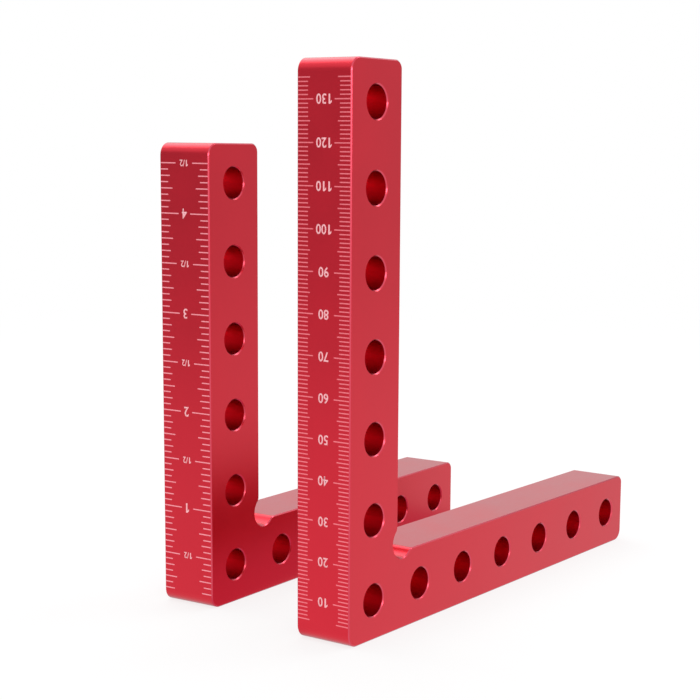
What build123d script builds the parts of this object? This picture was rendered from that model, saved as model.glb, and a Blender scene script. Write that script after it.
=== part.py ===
"""A pair of right-angle positioning squares, which hold box and frame corners at 90 degrees.

Each square is one solid L milled from aluminium bar: a standing arm and a lying arm of equal
length, a row of through holes along both, and a round relief in the inner corner that keeps
glue and burrs off the work. The pair is a large and a small square. The small one stands by
itself behind the large one and is turned a little.

Millimetres, +Z up. The origin is the centre of the large square's underside. +X runs along its
lying arm, away from the corner, and +Y runs through its thickness, away from the viewer.
"""
import os

from build123d import *

# Bar section that both squares share
arm_width = 20.0  # from an arm's outer face to its inner face
thickness = 16.0  # between the two drilled sides

# Lengths over the outer faces, which name the two squares
large_length = 140.0
small_length = 120.0

# Through holes along the middle of each arm, with the corner hole shared by both arms
peg_diameter = 8.0  # pin, bolt or clamp screw that the holes are meant for
peg_clearance = 0.1  # on the diameter, so that a peg slides in by hand
hole_pitch = 20.0
hole_mouth = 0.3  # chamfer round each mouth

# Rounded and broken edges
outer_radius = 3.2  # outer corner, and where each arm's end meets its outer face
inner_radius = 2.2  # where each arm's end meets its inner face
edge_break = 0.3  # chamfer along the outline of both drilled sides

# Relief in the inner corner
relief_radius = 4.0
relief_bite = 1.8  # how far it cuts into each arm, past the inner face
relief_runout = 2.0  # rounding where it meets an inner face

# Where the small square stands, from the large square's outer corner to its own
small_offset_x = 6.0
small_offset_y = 49.0
small_turn = 2.3  # degrees about the vertical

# Sizes and places that follow from those above
hole_radius = (peg_diameter + peg_clearance) / 2
hole_inset = arm_width / 2  # from an outer face to the line of holes
relief_centre = arm_width + relief_radius - relief_bite  # from either outer face
large_corner = Vector(-large_length / 2, -thickness / 2)
small_corner = large_corner + Vector(small_offset_x, small_offset_y)


def near_side_at(corner, turn=0):
    """Plane of a square's near side: x along the lying arm, y up the standing arm."""
    along = Vector(1, 0, 0).rotate(Axis.Z, turn)
    outward = Vector(0, -1, 0).rotate(Axis.Z, turn)
    return Plane(origin=corner, x_dir=along, z_dir=outward)


def hole_points(length):
    """Hole centres on the near side, measured from the outer corner."""
    last = int((length - 2 * hole_inset) // hole_pitch)
    line = [hole_inset + hole_pitch * step for step in range(last + 1)]
    lying = [(along, hole_inset) for along in line]
    standing = [(hole_inset, up) for up in line[1:]]
    return lying + standing


def milled_square(length, near_side):
    """One square, from its outline on the near side back through its thickness."""
    from_corner = (Align.MIN, Align.MIN)
    through = Axis(near_side.origin, near_side.z_dir)

    with BuildPart() as square:
        with BuildSketch(near_side) as outline:
            Rectangle(length, arm_width, align=from_corner)
            Rectangle(arm_width, length, align=from_corner)
            # the two points where an end meets an inner face lie farthest from the outer corner
            fillet(outline.vertices().sort_by_distance((0, 0))[-2:], inner_radius)
            on_outer_faces = outline.vertices().filter_by(lambda point: min(point.X, point.Y) < hole_inset)
            fillet(on_outer_faces, outer_radius)
            with Locations((relief_centre, relief_centre)):
                Circle(relief_radius, mode=Mode.SUBTRACT)
            # the two points where the relief leaves the inner faces lie nearest its centre
            runouts = outline.vertices().sort_by_distance((relief_centre, relief_centre))
            fillet(runouts[:2], relief_runout)
        extrude(amount=-thickness)
        chamfer(square.faces().filter_by(through).edges(), edge_break)

        with BuildSketch(near_side):
            with Locations(*hole_points(length)):
                Circle(hole_radius)
        extrude(amount=-thickness, mode=Mode.SUBTRACT)
        mouths = square.faces().filter_by(through).edges().filter_by(lambda edge: edge.is_closed)
        chamfer(mouths, hole_mouth)
    return square


large_square = milled_square(large_length, near_side_at(large_corner))
large_square.part.label = "large_square"

small_square = milled_square(small_length, near_side_at(small_corner, small_turn))
small_square.part.label = "small_square"

os.makedirs("parts", exist_ok=True)
export_step(large_square.part, "parts/large_square.step")
export_step(small_square.part, "parts/small_square.step")
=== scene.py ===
"""Looks of a pair of red anodised right-angle squares, in metres and in the part's own frame.

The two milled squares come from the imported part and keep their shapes. This script gives them
their satin anodising, marks the scales and numerals on their outer faces, and sets up a plain
studio with the camera.
"""
import logging
import math
from dataclasses import dataclass
from enum import Enum
from typing import Any, Callable, Dict, List, Optional, Sequence, Tuple, Union

import bmesh
import bpy
from mathutils import Euler, Matrix, Vector


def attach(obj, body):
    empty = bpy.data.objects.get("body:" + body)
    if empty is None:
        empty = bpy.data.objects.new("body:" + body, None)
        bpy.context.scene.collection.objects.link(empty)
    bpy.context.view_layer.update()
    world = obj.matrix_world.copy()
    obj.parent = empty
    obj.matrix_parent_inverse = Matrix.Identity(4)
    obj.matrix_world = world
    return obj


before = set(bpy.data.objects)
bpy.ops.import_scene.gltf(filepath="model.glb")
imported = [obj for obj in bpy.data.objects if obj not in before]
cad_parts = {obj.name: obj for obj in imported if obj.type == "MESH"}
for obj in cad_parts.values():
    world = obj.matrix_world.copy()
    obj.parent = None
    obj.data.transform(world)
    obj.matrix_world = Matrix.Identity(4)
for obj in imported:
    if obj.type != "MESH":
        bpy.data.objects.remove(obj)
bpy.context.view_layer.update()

LOG = logging.getLogger("positioning_squares")

MM = 0.001  # metres in a millimetre, because pieces are drawn in millimetres
INCH = 25.4  # millimetres in an inch
WELD = 0.0005  # millimetres; points of a drawing that are nearer to each other are one point
WHITE = (1.0, 1.0, 1.0)

# Sockets of a Mix node that mixes colours, where names stand for several sockets
MIX_FIRST = 6
MIX_SECOND = 7
MIXED = 2

Colour = Tuple[float, float, float]
Place = Tuple[float, float, float]  # in metres
Span = Tuple[float, float]  # where a soft step is 0, and where it is 1
Operand = Union["Value", float]


# Shader maths


class Value:
    """What one node gives, with arithmetic that adds the nodes it needs."""

    def __init__(self, graph: "Graph", socket: Optional[bpy.types.NodeSocket]) -> None:
        """Wrap a socket.

        Args:
            graph: the node tree that the socket belongs to.
            socket: a node's output, or nothing for a node that gives none.
        """
        self.graph = graph
        self.socket = socket

    def math(self, operation: str, *others: Operand) -> "Value":
        """Add one Math node with this value first.

        Args:
            operation: the Math node's operation.
            others: its further inputs.

        Returns:
            The node's result.
        """
        return self.graph.add("Math", {"operation": operation}, dict(enumerate((self,) + others)))

    def other_output(self, output: Union[int, str]) -> "Value":
        """Another output of the same node."""
        return Value(self.graph, self.socket.node.outputs[output])

    def __add__(self, other: Operand) -> "Value":
        """Sum of the two."""
        return self.math("ADD", other)

    def __radd__(self, other: Operand) -> "Value":
        """Sum of the two."""
        return self.math("ADD", other)

    def __sub__(self, other: Operand) -> "Value":
        """This less the other."""
        return self.math("SUBTRACT", other)

    def __rsub__(self, other: float) -> "Value":
        """The number less this."""
        return self.math("MULTIPLY_ADD", -1.0, other)

    def __mul__(self, other: Operand) -> "Value":
        """Product of the two."""
        return self.math("MULTIPLY", other)

    def __rmul__(self, other: Operand) -> "Value":
        """Product of the two."""
        return self.math("MULTIPLY", other)

    def __pow__(self, other: Operand) -> "Value":
        """This to the other's power."""
        return self.math("POWER", other)

    def __abs__(self) -> "Value":
        """Size without sign."""
        return self.math("ABSOLUTE")

    def least(self, other: Operand) -> "Value":
        """The lesser of the two."""
        return self.math("MINIMUM", other)

    def most(self, other: Operand) -> "Value":
        """The greater of the two."""
        return self.math("MAXIMUM", other)

    def rise(self, start: float, end: float) -> "Value":
        """Soft step over this value.

        Args:
            start: where the result is 0.
            end: where the result is 1; less than start for a falling step.

        Returns:
            A value from 0 to 1.
        """
        low, high, first, last = (start, end, 0.0, 1.0) if start < end else (end, start, 1.0, 0.0)
        return self.graph.add(
            "MapRange",
            {"interpolation_type": "SMOOTHSTEP"},
            {"Value": self, "From Min": low, "From Max": high, "To Min": first, "To Max": last},
        )


class Graph:
    """A node tree that is filled in by expressions."""

    def __init__(self, tree: bpy.types.NodeTree) -> None:
        """Start with an empty tree.

        Args:
            tree: the tree of a material or of the world.
        """
        self.tree = tree
        tree.nodes.clear()

    def add(
        self,
        kind: str,
        settings: Optional[Dict[str, Any]] = None,
        values: Optional[Dict[Union[int, str], Any]] = None,
        result: Union[int, str] = 0,
    ) -> Value:
        """Add one node.

        Args:
            kind: the node's type without its ShaderNode prefix.
            settings: properties that are set before the sockets.
            values: numbers, colours or other values by socket name or index.
            result: the output to give back.

        Returns:
            The chosen output.
        """
        node = self.tree.nodes.new("ShaderNode" + kind)
        for name, setting in (settings or {}).items():
            setattr(node, name, setting)
        for name, value in (values or {}).items():
            if isinstance(value, Value):
                self.tree.links.new(value.socket, node.inputs[name])
            else:
                node.inputs[name].default_value = value
        return Value(self, node.outputs[result] if len(node.outputs) else None)

    def blend(self, factor: Operand, first: Any, second: Any, way: str = "MIX") -> Value:
        """Mix two colours.

        Args:
            factor: 0 for the first, 1 for the second.
            first: a colour or a value.
            second: a colour or a value.
            way: the Mix node's way of blending.

        Returns:
            The mixed colour.
        """
        first, second = (c if isinstance(c, Value) else (*c, 1.0) for c in (first, second))
        settings = {"data_type": "RGBA", "blend_type": way}
        return self.add("Mix", settings, {0: factor, MIX_FIRST: first, MIX_SECOND: second}, MIXED)

    def noise(self, place: Value, size: float, detail: float) -> Value:
        """Soft random pattern about 0.5.

        Args:
            place: coordinates in millimetres.
            size: how large its blotches are, in millimetres.
            detail: how many finer layers are added.

        Returns:
            The pattern.
        """
        return self.add("TexNoise", {}, {"Vector": place, "Scale": 1.0 / size, "Detail": detail})


def started(name: str) -> Tuple[bpy.types.Material, Graph]:
    """Start a material.

    Args:
        name: the material's name.

    Returns:
        The material, and its empty node tree.
    """
    material = bpy.data.materials.new(name)
    material.use_nodes = True
    return material, Graph(material.node_tree)


# Finishes


@dataclass(frozen=True)
class Mottle:
    """A soft random pattern in a finish."""

    size: float  # of its blotches, in millimetres
    detail: float  # finer layers
    tone: float  # how much it lightens the dye
    rough: float  # how much it changes the roughness


@dataclass(frozen=True)
class Anodising:
    """Satin anodising with red dye, over blasted and milled aluminium, with painted shade in the
    bores and a painted highlight in part on the chamfers.
    """

    dye: Colour = (0.70, 0.010, 0.031)
    grazing: Colour = (0.62, 1.0, 1.0)  # tint of what it mirrors at a flat angle
    chamfer_red_and_highlight: Colour = (0.68, 0.064, 0.108)  # a paler red on the chamfers, which is in part a painted highlight on their edges
    bore_dye: Colour = (0.82, 0.0, 0.030)
    bore_painted_shade: Colour = (0.60, 0.0, 0.022)  # painted shade towards a bore's top and bottom, which see less light
    shaded: Span = (1.4, 4.0)  # how far above or below a bore's middle the painted shade starts and is whole
    skin: Span = (0.01, 0.06)  # how far below a drilled side the edge breaks and bores start
    cut_end: Span = (0.02, -0.04)  # the end of a chamfer's finish, past the depth of the edge break
    bore_end: Span = (0.35, 0.05)  # the end of a bore's finish, outside the hole's radius
    roughness: float = 0.36
    cut_roughness: float = 0.22
    bore_roughness: float = 0.42
    coat: float = 0.35
    coat_roughness: float = 0.28
    coat_ior: float = 1.6
    plain_tone: float = 0.94  # where neither pattern lightens the dye
    cloud: Mottle = Mottle(14.0, 3.0, 0.10, 0.10)
    fleck: Mottle = Mottle(0.9, 2.0, 0.04, 0.06)
    grain: float = 0.16  # size of the blasted grain, in millimetres
    grain_detail: float = 2.0
    grain_height: float = 0.004  # in millimetres
    feed: float = 0.35  # from one tool mark in a bore to the next, in millimetres
    feed_height: float = 0.6  # height of the tool marks, as a share of the grain's

    def material(self, square: "Square") -> bpy.types.Material:
        """Make the finish of one square.

        Args:
            square: the square, whose corner and turn place the pattern.

        Returns:
            The material.
        """
        material, graph = started(square.name + "_red_anodising")
        place = self.place(graph, square)
        along = graph.add("SeparateXYZ", {}, {0: place}, "X")
        through, up = along.other_output("Y"), along.other_output("Z")

        depth = through.least(square.thickness - through)
        inside = depth.rise(*self.skin)
        beside, above = self.hole_offset(square, along, up)
        reach = (beside * beside + above * above) ** 0.5
        bore = reach.rise(*(square.hole_radius + past for past in self.bore_end)) * inside
        cut = inside * depth.rise(*(square.edge_break + past for past in self.cut_end))

        cloud = graph.noise(place, self.cloud.size, self.cloud.detail)
        fleck = graph.noise(place, self.fleck.size, self.fleck.detail)
        shade = (self.plain_tone + self.cloud.tone * cloud + self.fleck.tone * fleck) * square.tone
        # painted shade: the bore walls darken towards each hole's top and bottom
        bore_wall_and_shade = graph.blend(above.rise(*self.shaded), self.bore_dye, self.bore_painted_shade)
        red = graph.blend(bore, self.dye, bore_wall_and_shade)
        # the chamfers take a paler red, in part a painted highlight
        red = graph.blend(cut, red, self.chamfer_red_and_highlight)
        tone = graph.add("CombineColor", {}, {0: shade, 1: shade, 2: shade})
        red = graph.blend(1.0, red, tone, "MULTIPLY")

        rough = self.roughness + self.cloud.rough * (cloud - 0.5) + self.fleck.rough * (fleck - 0.5)
        rough = rough + (self.bore_roughness - self.roughness) * bore
        rough = rough - (self.roughness - self.cut_roughness) * cut

        grain = graph.noise(place, self.grain, self.grain_detail)
        feed = (through * (2 * math.pi / self.feed)).math("SINE") * bore
        height = (grain + self.feed_height * feed) * (self.grain_height * MM)
        bump = graph.add("Bump", {}, {"Strength": 1.0, "Distance": 1.0, "Height": height})
        surface = graph.add(
            "BsdfPrincipled",
            {},
            {
                "Base Color": red,
                "Metallic": 1.0,
                "Roughness": rough,
                "Specular Tint": (*self.grazing, 1.0),
                "Coat Weight": self.coat,
                "Coat Roughness": self.coat_roughness,
                "Coat IOR": self.coat_ior,
                "Normal": bump,
            },
        )
        graph.add("OutputMaterial", {}, {"Surface": surface})
        return material

    def place(self, graph: Graph, square: "Square") -> Value:
        """Coordinates on the square, in millimetres from its outer corner.

        Args:
            graph: the material's nodes.
            square: the square.

        Returns:
            A vector: along the lying arm, through the thickness, up the standing arm.
        """
        seen = graph.add("TexCoord", {}, {}, "Object")
        turn = (0.0, 0.0, math.radians(square.turn))
        corner = (square.corner[0] * MM, square.corner[1] * MM, 0.0)
        return graph.add(
            "Mapping",
            {"vector_type": "TEXTURE"},
            {"Vector": seen, "Location": corner, "Rotation": turn, "Scale": (MM, MM, MM)},
        )

    def hole_offset(self, square: "Square", along: Value, up: Value) -> List[Value]:
        """Offset from the nearest hole's middle. The holes repeat along both arms.

        Args:
            square: the square.
            along: place along the lying arm.
            up: place up the standing arm.

        Returns:
            How far it is to the side, and how far up or down, in millimetres.
        """
        pitch = square.hole_pitch
        return [abs(way.math("MODULO", pitch) - pitch / 2) for way in (along, up)]


@dataclass(frozen=True)
class LaserMark:
    """Matt marks, where a laser has bleached the dye."""

    name: str
    bleached: Colour
    thin: Colour  # where less of the dye is gone
    metallic: float  # how much of the metal still shows
    roughness: float = 0.50
    patch: float = 0.5  # size of the patches where less of it is gone, in millimetres
    patch_detail: float = 3.0
    patch_edge: Span = (0.45, 0.75)
    speckle: float = 0.2  # size of the finest change in roughness, in millimetres
    speckle_detail: float = 2.0
    speckle_roughness: float = 0.2

    def material(self) -> bpy.types.Material:
        """Make the finish.

        Returns:
            The material.
        """
        material, graph = started(self.name)
        seen = graph.add("TexCoord", {}, {}, "Object")
        scale = {"Vector": seen, "Scale": (MM, MM, MM)}
        place = graph.add("Mapping", {"vector_type": "TEXTURE"}, scale)
        patchy = graph.noise(place, self.patch, self.patch_detail).rise(*self.patch_edge)
        white = graph.blend(patchy, self.bleached, self.thin)
        speckle = graph.noise(place, self.speckle, self.speckle_detail)
        rough = self.roughness + self.speckle_roughness * (speckle - 0.5)
        surface = graph.add(
            "BsdfPrincipled",
            {},
            {"Base Color": white, "Roughness": rough, "Metallic": self.metallic},
        )
        graph.add("OutputMaterial", {}, {"Surface": surface})
        return material


# Modelling by hand


def deselect() -> None:
    """Leave nothing selected, so that an operator acts on the new piece alone."""
    bpy.ops.object.select_all(action="DESELECT")


def take(piece: bpy.types.Object) -> None:
    """Select one piece and make it active.

    Args:
        piece: the piece.
    """
    deselect()
    piece.select_set(True)
    bpy.context.view_layer.objects.active = piece


def joined(pieces: Sequence[bpy.types.Object], name: str) -> bpy.types.Object:
    """Join pieces into the first of them.

    Args:
        pieces: meshes to join.
        name: the result's name.

    Returns:
        The joined piece.
    """
    deselect()
    for piece in pieces:
        piece.select_set(True)
    bpy.context.view_layer.objects.active = pieces[0]
    bpy.ops.object.join()
    whole = bpy.context.object
    whole.name = name
    whole.data.name = name
    return whole


def select_edges(piece: bpy.types.Object, wanted: Callable[[Vector], bool]) -> None:
    """Select edges by where their middles are, in edit mode.

    Args:
        piece: the mesh that is being edited.
        wanted: says of an edge's middle whether the edge is selected.
    """
    bpy.ops.mesh.select_all(action="DESELECT")
    bpy.ops.mesh.select_mode(type="EDGE")
    mesh = bmesh.from_edit_mesh(piece.data)
    for edge in mesh.edges:
        edge.select_set(wanted((edge.verts[0].co + edge.verts[1].co) / 2))
    bmesh.update_edit_mesh(piece.data)


def raised(piece: bpy.types.Object, bottom: float, top: float) -> None:
    """Give a flat drawing its thickness.

    Args:
        piece: a flat mesh at height 0.
        bottom: height of its underside.
        top: height of its upper side.
    """
    take(piece)
    bpy.ops.object.mode_set(mode="EDIT")
    bpy.ops.mesh.select_all(action="SELECT")
    bpy.ops.mesh.remove_doubles(threshold=WELD)
    bpy.ops.transform.translate(value=(0.0, 0.0, bottom))
    bpy.ops.mesh.extrude_region_move(TRANSFORM_OT_translate={"value": (0.0, 0.0, top - bottom)})
    bpy.ops.mesh.select_all(action="SELECT")
    bpy.ops.mesh.normals_make_consistent(inside=False)
    bpy.ops.object.mode_set(mode="OBJECT")


def repeated(piece: bpy.types.Object, count: int, step: float) -> None:
    """Repeat a piece down the scale with an array modifier, and apply it.

    Args:
        piece: a mesh in millimetres.
        count: how many there are in all.
        step: from one to the next, away from the corner.
    """
    take(piece)
    row = piece.modifiers.new("row", "ARRAY")
    row.count = count
    row.use_relative_offset = False
    row.use_constant_offset = True
    row.constant_offset_displace = (0.0, -step, 0.0)
    bpy.ops.object.modifier_apply(modifier=row.name)


# Scales


@dataclass(frozen=True)
class Run:
    """Marks of one length, in groups that repeat along a scale. In its units but for the reach."""

    first: int
    pitch: int
    reach: float  # how far the marks reach in from the face's edge, in millimetres
    together: int = 1  # marks in a group, one unit apart

    def groups(self, last: int) -> int:
        """How many groups there are up to the scale's last unit."""
        return (last - self.first) // self.pitch + 1


@dataclass(frozen=True)
class Lettering:
    """Numerals that repeat along a scale."""

    first: int
    pitch: int
    height: float  # in millimetres
    whole: int = 1  # units that count as one in the numerals
    fixed: str = ""  # the same text everywhere, in place of a count

    def text(self, at: int) -> str:
        """What is written at a unit of the scale."""
        return self.fixed or str(at // self.whole)


@dataclass(frozen=True)
class Rule:
    """How a system of units is marked."""

    unit: float  # in millimetres
    runs: Tuple[Run, ...]
    lettering: Tuple[Lettering, ...]


class System(Enum):
    """The two systems of units on the squares."""

    METRIC = Rule(
        unit=1.0,
        runs=(Run(10, 10, 4.9), Run(5, 10, 3.95), Run(6, 5, 3.35, together=4)),
        lettering=(Lettering(10, 10, 2.3),),
    )
    IMPERIAL = Rule(
        unit=INCH / 16,
        runs=(Run(16, 16, 6.1), Run(8, 16, 5.3), Run(4, 8, 4.2), Run(2, 4, 3.4), Run(3, 2, 2.8)),
        lettering=(Lettering(16, 16, 2.5, whole=16), Lettering(8, 16, 1.6, fixed="1/2")),
    )


class Face(Enum):
    """An arm's outer face: the way along it from the corner, and the way it faces."""

    STANDING = (Vector((0, 0, 1)), Vector((-1, 0, 0)))
    LYING = (Vector((1, 0, 0)), Vector((0, 0, -1)))


@dataclass(frozen=True)
class Typeface:
    """Plain figures. Sizes against the built-in font's own unit."""

    tall: float = 0.70
    wide: float = 0.93  # width of the figures against the built-in ones
    advance: float = 0.52  # from one figure to the next
    narrow: float = 0.28  # the same after a stroke
    heavier: float = 0.014  # added all round the built-in figures
    stem: float = 0.145
    stem_middle: float = 0.265
    flag: float = 0.15  # how far the flag of a 1 reaches from its stem
    flag_drop: float = 0.13
    flag_thick: float = 0.15
    curve_steps: int = 4  # in each part of a figure's outline

    def one(self) -> bpy.types.Object:
        """Draw a 1, which in the built-in font lacks its flag.

        Returns:
            The flat figure.
        """
        deselect()
        bpy.ops.mesh.primitive_plane_add(size=1.0, location=(0.0, 0.0, 0.0))
        one = bpy.context.object
        bpy.ops.object.mode_set(mode="EDIT")
        bpy.ops.transform.resize(value=(self.stem, self.tall, 1.0))
        bpy.ops.transform.translate(value=(self.stem_middle, self.tall / 2, 0.0))
        flag_foot = self.tall - self.flag_thick
        stem_left = self.stem_middle - self.stem / 2
        bpy.ops.mesh.bisect(plane_co=(0.0, flag_foot, 0.0), plane_no=(0.0, 1.0, 0.0))
        select_edges(one, lambda middle: middle.x < stem_left + WELD and middle.y > flag_foot)
        bpy.ops.mesh.extrude_edges_move(
            TRANSFORM_OT_translate={"value": (-self.flag, -self.flag_drop, 0.0)}
        )
        bpy.ops.object.mode_set(mode="OBJECT")
        return one

    def figure(self, letter: str) -> bpy.types.Object:
        """Draw one figure.

        Args:
            letter: a digit or a stroke.

        Returns:
            The flat figure.
        """
        if letter == "1":
            return self.one()
        deselect()
        bpy.ops.object.text_add(location=(0.0, 0.0, 0.0))
        figure = bpy.context.object
        figure.data.body = letter
        figure.data.resolution_u = self.curve_steps
        figure.data.offset = self.heavier
        take(figure)
        bpy.ops.object.convert(target="MESH")
        return figure

    def line(self, text: str) -> bpy.types.Object:
        """Draw a line of figures.

        Args:
            text: what it says.

        Returns:
            The flat line.
        """
        figures, at = [], 0.0
        for letter in text:
            figure = self.figure(letter)
            figure.data.transform(Matrix.Translation((at, 0, 0)))
            figures.append(figure)
            at += self.narrow if letter == "/" else self.advance
        return joined(figures, "numeral")


TYPE = Typeface()


@dataclass(frozen=True)
class Scale:
    """The marks and numerals on one outer face. They are drawn with up towards the corner."""

    square: "Square"
    face: Face
    system: System
    last: int  # the last marked unit
    zero: float  # from the corner to the scale's zero, in millimetres
    inset: float = 0.30  # the marks start this far from the square's side
    line: float = 0.29  # width of a mark
    line_rounding: float = 0.42  # of a mark's corners, as a share of its width
    sunk: float = 0.02  # how far the marks reach into the face
    proud: float = 0.012  # how far they stand above it

    def seat(self) -> Matrix:
        """Where the scale's drawing goes on the square.

        Returns:
            The way from the drawing in millimetres to the part's frame in metres.
        """
        along, outward = self.face.value
        up = -along
        right = up.cross(outward)
        start = along * self.zero + Vector((0, self.square.thickness / 2, 0))
        drawing = Matrix((right, up, outward)).transposed().to_4x4()
        drawing.translation = start
        return self.square.seat() @ drawing

    def bar(self, run: Run) -> bpy.types.Object:
        """Draw one mark at the middle of the face: a line with rounded ends.

        Args:
            run: the run that it belongs to.

        Returns:
            The flat mark.
        """
        deselect()
        bpy.ops.mesh.primitive_plane_add(size=1.0, location=(0.0, 0.0, 0.0))
        bpy.ops.object.mode_set(mode="EDIT")
        bpy.ops.transform.resize(value=(run.reach - self.inset, self.line, 1.0))
        bpy.ops.mesh.bevel(offset=self.line * self.line_rounding, segments=3, affect="VERTICES")
        bpy.ops.object.mode_set(mode="OBJECT")
        return bpy.context.object

    def marks(self, run: Run) -> bpy.types.Object:
        """Model one run of marks, along both edges of the face.

        Args:
            run: the run.

        Returns:
            The marks.
        """
        unit = self.system.value.unit
        first = self.bar(run)
        off_middle = (self.square.thickness - self.inset - run.reach) / 2
        take(first)
        bpy.ops.object.duplicate()
        second = bpy.context.object
        for side, bar in ((-1, first), (1, second)):
            bar.data.transform(Matrix.Translation((side * off_middle, -run.first * unit, 0)))
        both = joined((first, second), "marks")
        raised(both, -self.sunk, self.proud)
        if run.together > 1:
            repeated(both, run.together, unit)
        repeated(both, run.groups(self.last), run.pitch * unit)
        return both

    def numeral(self, text: str, height: float, down: float) -> bpy.types.Object:
        """Model one numeral, centred on its mark.

        Args:
            text: what it says.
            height: of its digits.
            down: from the scale's zero.

        Returns:
            The numeral.
        """
        whole = TYPE.line(text)
        reach = [vertex.co.x for vertex in whole.data.vertices]
        grow = height / TYPE.tall
        middle = Matrix.Translation((-(max(reach) + min(reach)) / 2, -TYPE.tall / 2, 0))
        size = Matrix.Diagonal((grow * TYPE.wide, grow, 1, 1))
        whole.data.transform(Matrix.Translation((0, -down, 0)) @ size @ middle)
        raised(whole, -self.sunk, self.proud)
        return whole

    def finish(self, piece: bpy.types.Object, material: bpy.types.Material) -> None:
        """Put a drawn piece on the square and dress it.

        Args:
            piece: the piece, in millimetres.
            material: its finish.
        """
        piece.data.transform(self.seat())
        piece.data.update()
        piece.data.materials.clear()
        piece.data.materials.append(material)
        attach(piece, "root")

    def build(
        self, lines: bpy.types.Material, figures: bpy.types.Material
    ) -> List[bpy.types.Object]:
        """Make the scale.

        Args:
            lines: the finish of its marks.
            figures: the finish of its numerals.

        Returns:
            The marks as one piece, and the numerals as another.
        """
        rule = self.system.value
        name = f"{self.square.prefix}_{self.face.name.lower()}"
        marks = joined([self.marks(run) for run in rule.runs], name + "_graduations")
        self.finish(marks, lines)
        figured = [
            self.numeral(kind.text(at), kind.height, at * rule.unit)
            for kind in rule.lettering
            for at in range(kind.first, self.last + 1, kind.pitch)
        ]
        numerals = joined(figured, name + "_numerals")
        self.finish(numerals, figures)
        return [marks, numerals]


# The squares


@dataclass(frozen=True)
class Square:
    """One milled square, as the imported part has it. Sizes in millimetres."""

    prefix: str
    corner: Tuple[float, float]  # the outer corner of its near side
    turn: float  # degrees about the vertical
    thickness: float = 16.0
    tone: float = 1.0  # how light its dye came out
    edge_break: float = 0.3
    hole_pitch: float = 20.0
    hole_radius: float = 4.05

    @property
    def name(self) -> str:
        """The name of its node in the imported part."""
        return self.prefix + "_square"

    def seat(self) -> Matrix:
        """The way from the square's own millimetres to the part's frame in metres."""
        place = Matrix.Translation((self.corner[0] * MM, self.corner[1] * MM, 0.0))
        return place @ Matrix.Rotation(math.radians(self.turn), 4, "Z") @ Matrix.Scale(MM, 4)

    def dress(self, finish: Anodising) -> bpy.types.Object:
        """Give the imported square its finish.

        Args:
            finish: the anodising.

        Returns:
            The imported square.
        """
        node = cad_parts[self.name]
        material = finish.material(self)
        for slot in node.material_slots:
            slot.material = material
        return node


# The studio


@dataclass(frozen=True)
class Lamp:
    """A softbox."""

    name: str
    place: Place
    aim: Place
    width: float
    height: float
    radiance: float
    mirrored: bool = True  # whether the metal shows it

    def build(self) -> None:
        """Make the lamp."""
        data = bpy.data.lights.new(self.name, "AREA")
        data.shape = "RECTANGLE"
        data.size = self.width
        data.size_y = self.height
        data.energy = self.radiance * math.pi * self.width * self.height
        lamp = bpy.data.objects.new(self.name, data)
        bpy.context.scene.collection.objects.link(lamp)
        way = Vector(self.aim) - Vector(self.place)
        lamp.location = self.place
        lamp.rotation_euler = way.to_track_quat("-Z", "Y").to_euler()
        lamp.visible_glossy = self.mirrored


@dataclass(frozen=True)
class Card:
    """A standing grey card that only the metal mirrors."""

    name: str
    place: Place
    aim: Place
    width: float
    height: float
    grey: float

    def build(self) -> None:
        """Make the card."""
        way = Vector(self.aim) - Vector(self.place)
        turn = way.to_track_quat("Z", "Y").to_euler()
        deselect()
        bpy.ops.mesh.primitive_plane_add(size=1.0, location=self.place, rotation=turn)
        card = bpy.context.object
        card.name = self.name
        card.scale = (self.width, self.height, 1.0)
        material, graph = started(self.name)
        grey = (self.grey, self.grey, self.grey, 1.0)
        surface = graph.add("Emission", {}, {"Color": grey, "Strength": 1.0})
        graph.add("OutputMaterial", {}, {"Surface": surface})
        card.data.materials.append(material)
        for ray in ("camera", "diffuse", "transmission", "volume_scatter", "shadow"):
            setattr(card, "visible_" + ray, False)


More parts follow.
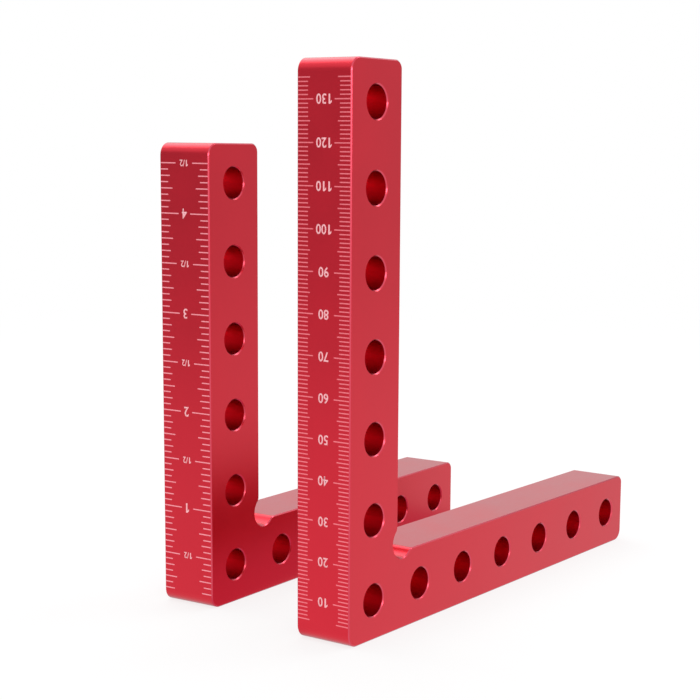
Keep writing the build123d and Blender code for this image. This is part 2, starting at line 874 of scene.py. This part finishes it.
@dataclass(frozen=True)
class Studio:
    """White floor, soft light and the camera. In metres but for the lens and its sensor."""

    camera_place: Place = (-0.3693, -0.23287, 0.12017)
    camera_turn: Tuple[float, float, float] = (81.023, -0.7359, -55.833)  # degrees
    lens: float = 82.99  # in millimetres
    sensor: float = 36.0  # its width, in millimetres
    shift: Tuple[float, float] = (-0.1143, 0.0714)
    clip: Tuple[float, float] = (0.01, 50.0)
    floor_size: float = 6.0
    paper: float = 0.92  # how white the floor itself is
    floor_glow: float = 0.80  # share of plain white in what the camera sees of it near the squares
    floor_in_metal: float = 0.97  # how bright the metal mirrors it there
    glow_fade: Span = (0.25, 0.75)  # how far out both start to grow, and are 1
    gap_painted_shade: Colour = (0.78, 0.30, 0.46)  # painted shade and painted red bounce light on the floor between the squares, which only the metal mirrors
    gap_middle: float = 0.0245  # how far behind the large square's middle the gap's middle is
    gap_across: Span = (0.020, 0.0145)  # how far from its middle the tint ends, and is whole
    gap_along: Span = (0.078, 0.058)
    surround: float = 0.85  # how bright the world is as a light
    lamps: Tuple[Lamp, ...] = (
        Lamp("softbox_above", (0.05, 0.15, 0.95), (0.0, 0.02, 0.05), 0.9, 0.7, 0.9, mirrored=False),
        Lamp("softbox_back", (0.18, 0.68, 0.92), (-0.05, 0.02, 0.12), 0.84, 0.5, 1.9),
        Lamp("softbox_front", (-0.60, -0.80, 0.30), (-0.06, 0.0, 0.12), 0.30, 0.22, 4.5),
        Lamp("softbox_right", (0.50, -0.28, 0.76), (0.0, 0.0, 0.07), 0.34, 0.22, 3.6),
    )
    cards: Tuple[Card, ...] = (
        Card("card_left", (-0.424, 0.325, 0.175), (-0.067, 0.02, 0.175), 0.50, 0.35, 0.50),
        Card("card_right", (0.42, -0.28, 0.175), (-0.03, -0.008, 0.175), 0.60, 0.35, 0.72),
    )

    def seen(self, graph: Graph, straight: float, mirrored: float) -> Value:
        """How much of plain white the camera sees.

        Args:
            graph: nodes of the floor or the surround.
            straight: the share where it looks straight at it.
            mirrored: the share where it sees it in metal or glass.

        Returns:
            The share, which is 0 for other light.
        """
        camera = graph.add("LightPath", {}, {}, "Is Camera Ray")
        glossy = camera.other_output("Is Glossy Ray")
        through = camera.other_output("Is Transmission Ray")
        return (camera * straight).most(glossy.most(through) * mirrored)

    def floor(self) -> None:
        """White floor that keeps the squares' soft shadow, and painted shade between them where the
        metal mirrors it.
        """
        deselect()
        bpy.ops.mesh.primitive_plane_add(size=self.floor_size, location=(0.0, 0.0, 0.0))
        floor = bpy.context.object
        floor.name = "floor"
        material, graph = started("white_floor")
        paper = graph.add("BsdfDiffuse", {}, {"Color": (self.paper, self.paper, self.paper, 1.0)})
        seen = graph.add("TexCoord", {}, {}, "Object")
        radius = graph.add("VectorMath", {"operation": "LENGTH"}, {0: seen}, "Value")
        away = radius.rise(*self.glow_fade)
        along = graph.add("SeparateXYZ", {}, {0: seen}, "X")
        across = along.other_output("Y") - self.gap_middle
        # painted shade: where the floor between the squares is darkened and reddened for the metal
        gap = abs(across).rise(*self.gap_across) * abs(along).rise(*self.gap_along)
        mirrored = graph.add("LightPath", {}, {}, "Is Glossy Ray")
        colour = graph.blend(gap * mirrored, WHITE, self.gap_painted_shade)
        bright = self.seen(graph, 1.0, self.floor_in_metal)
        bright = bright + (1.0 - bright) * away
        glow = graph.add("Emission", {}, {"Color": colour, "Strength": bright})
        near = self.seen(graph, self.floor_glow, 1.0)
        far = self.seen(graph, 1.0, 1.0)
        share = near + (far - near) * away
        surface = graph.add("MixShader", {}, {0: share, 1: paper, 2: glow})
        graph.add("OutputMaterial", {}, {"Surface": surface})
        floor.data.materials.append(material)

    def world(self) -> None:
        """Even surround, white where the camera sees it."""
        world = bpy.data.worlds.new("surround")
        bpy.context.scene.world = world
        world.use_nodes = True
        graph = Graph(world.node_tree)
        strength = self.surround + (1.0 - self.surround) * self.seen(graph, 1.0, 1.0)
        light = graph.add("Background", {}, {"Color": (*WHITE, 1.0), "Strength": strength})
        graph.add("OutputWorld", {}, {"Surface": light})

    def camera(self) -> None:
        """Camera at the photograph's place."""
        data = bpy.data.cameras.new("camera")
        data.lens = self.lens
        data.sensor_width = self.sensor
        data.shift_x, data.shift_y = self.shift
        data.clip_start, data.clip_end = self.clip
        camera = bpy.data.objects.new("camera", data)
        bpy.context.scene.collection.objects.link(camera)
        camera.location = self.camera_place
        camera.rotation_euler = Euler([math.radians(turn) for turn in self.camera_turn])
        bpy.context.scene.camera = camera

    def build(self) -> None:
        """Make the whole studio."""
        self.camera()
        self.floor()
        self.world()
        for item in self.lamps + self.cards:
            item.build()
        bpy.context.scene.view_settings.view_transform = "Standard"
        LOG.info("studio: %d lamps, %d cards", len(self.lamps), len(self.cards))


def main() -> None:
    """Build the studio, dress the squares and mark their scales."""
    logging.basicConfig(level=logging.INFO, format="%(message)s")
    Studio().build()

    large = Square("large", (-70.0, -8.0), 0.0)
    small = Square("small", (-64.0, 41.0), 2.3, tone=0.96)
    anodising = Anodising()
    for square in (large, small):
        LOG.info("%s: dressed", square.dress(anodising).name)

    marks = (
        LaserMark("scale_lines_laser", (0.99, 0.24, 0.29), (0.97, 0.16, 0.20), 0.7),
        LaserMark("bright_scale_lines_laser", (0.99, 0.36, 0.42), (0.98, 0.25, 0.30), 0.4),
        LaserMark("scale_figures_laser", (0.99, 0.51, 0.55), (0.97, 0.38, 0.41), 0.2),
    )
    lines, bright_lines, figures = (mark.material() for mark in marks)
    scales = (
        Scale(large, Face.STANDING, System.METRIC, last=135, zero=0.4),
        Scale(large, Face.LYING, System.IMPERIAL, last=84, zero=0.4),
        Scale(small, Face.STANDING, System.IMPERIAL, last=72, zero=0.6),
        Scale(small, Face.LYING, System.METRIC, last=115, zero=0.6),
    )
    for scale in scales:
        for piece in scale.build(lines if scale.square is large else bright_lines, figures):
            LOG.info("%s: %d faces", piece.name, len(piece.data.polygons))


if __name__ == "__main__":
    main()
